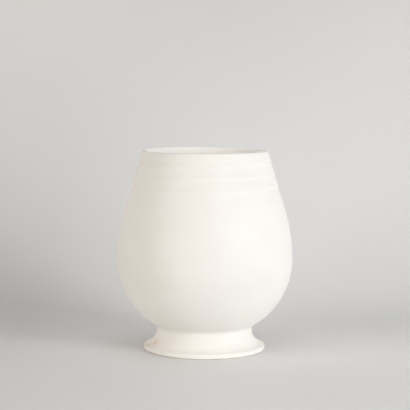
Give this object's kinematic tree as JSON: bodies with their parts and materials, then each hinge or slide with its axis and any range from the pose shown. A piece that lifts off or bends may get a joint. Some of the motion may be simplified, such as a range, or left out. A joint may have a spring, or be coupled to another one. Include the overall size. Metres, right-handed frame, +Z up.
{
  "type": "pottery vase",
  "caption": "Round-bellied glazed pottery vase with turned rings under an open mouth, joined with slip to a hollow flared foot; holds cut flowers and water.",
  "frame": {"origin": "centre of the ring-shaped face that the foot stands on, at table height", "axes": "+Z up along the axis of rotation, from the foot to the mouth; the form is round, so +X and +Y are any two directions across"},
  "size_m": [0.176, 0.176, 0.2],
  "materials": {
    "glaze": "cream-white satin glaze over fine turning lines",
    "fired_slip": "cream fired slip, wiped flush and glazed over on the outside",
    "foot_glaze": "cream-white satin glaze, wiped off the ring that the foot stands on"
  },
  "bodies": {
    "root": {"vase_body": "glaze", "luting_slip": "fired_slip", "pedestal_foot": "foot_glaze"}
  },
  "joints": []
}
